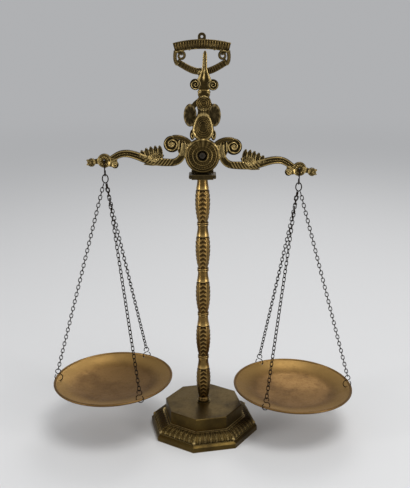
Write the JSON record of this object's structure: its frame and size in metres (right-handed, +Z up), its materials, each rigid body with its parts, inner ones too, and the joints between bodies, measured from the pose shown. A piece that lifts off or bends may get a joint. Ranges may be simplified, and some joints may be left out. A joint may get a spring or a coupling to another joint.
{
  "type": "double pan balance",
  "caption": "Equal-arm balance: an ornate beam with an index needle on a baluster column and octagonal base, and two dished pans on link chains.",
  "frame": {"origin": "middle of the base's underside, on the column's axis", "axes": "+Z up the column, +X along the beam to the right pan, -Y to the front where the needle is read"},
  "size_m": [0.3776, 0.15, 0.4917],
  "materials": {
    "cast_brass": "aged cast brass, bright on the edges, dark in the recesses",
    "column_brass": "aged brass, polished collars and rings",
    "base_brass": "dark brown-olive patinated brass, satin",
    "pan_brass": "satin warm brass with stains",
    "dark_wire": "blackened brass wire",
    "steel": "plain turned steel",
    "bush_bronze": "turned bronze"
  },
  "bodies": {
    "stand": {"base_skirt": "base_brass", "base_plinth": "base_brass", "column_foot": "column_brass", "column_segment_1": "column_brass", "column_segment_2": "column_brass", "column_segment_3": "column_brass", "column_segment_4": "column_brass", "column_segment_5": "column_brass", "tie_rod": "steel", "tie_rod_washer": "steel", "tie_rod_nut": "steel", "capital": "cast_brass", "rear_bracket": "cast_brass", "bracket_screws": "steel", "index_frame": "cast_brass", "frame_screws": "steel", "top_eye": "cast_brass", "pivot_pin": "steel", "pivot_front_nut": "steel", "pivot_rear_nut": "steel"},
    "beam": {"beam": "cast_brass", "pivot_bush": "bush_bronze", "crest": "cast_brass", "crest_dowel": "steel", "needle": "cast_brass"},
    "left_hook": {"left_hook": "dark_wire"},
    "left_ring": {"left_ring": "dark_wire"},
    "left_pan": {"left_outer_chain": "dark_wire", "left_front_chain": "dark_wire", "left_rear_chain": "dark_wire", "left_rim_hooks": "dark_wire", "left_pan": "pan_brass"},
    "right_hook": {"right_hook": "dark_wire"},
    "right_ring": {"right_ring": "dark_wire"},
    "right_pan": {"right_outer_chain": "dark_wire", "right_front_chain": "dark_wire", "right_rear_chain": "dark_wire", "right_rim_hooks": "dark_wire", "right_pan": "pan_brass"}
  },
  "joints": [
    {"name": "beam_tilt", "type": "hinge", "parent": "stand", "child": "beam", "pos_m": [0, 0, 0.353], "axis": [0, 1, 0], "range_deg": [-11.7, 6.3]},
    {"name": "left_hook_turn", "type": "hinge", "parent": "beam", "child": "left_hook", "pos_m": [-0.11439, 0, 0.34718], "axis": [0, 1, 0], "range_deg": [-6.3, 11.7]},
    {"name": "left_pan_sway", "type": "hinge", "parent": "left_hook", "child": "left_ring", "pos_m": [-0.11439, 0, 0.32918], "axis": [0, 1, 0], "range_deg": [-4, 12]},
    {"name": "left_pan_swing", "type": "hinge", "parent": "left_ring", "child": "left_pan", "pos_m": [-0.11439, 0, 0.32073], "axis": [1, 0, 0], "range_deg": [-10, 10]},
    {"name": "right_hook_turn", "type": "hinge", "parent": "beam", "child": "right_hook", "pos_m": [0.11335, 0, 0.33644], "axis": [0, 1, 0], "range_deg": [-6.3, 11.7]},
    {"name": "right_pan_sway", "type": "hinge", "parent": "right_hook", "child": "right_ring", "pos_m": [0.11335, 0, 0.31844], "axis": [0, -1, 0], "range_deg": [-4, 12]},
    {"name": "right_pan_swing", "type": "hinge", "parent": "right_ring", "child": "right_pan", "pos_m": [0.11335, 0, 0.30999], "axis": [1, 0, 0], "range_deg": [-10, 10]}
  ],
  "couplings": [
    {"joint": "left_hook_turn", "follows": "beam_tilt", "ratio": -1},
    {"joint": "right_hook_turn", "follows": "beam_tilt", "ratio": -1}
  ]
}
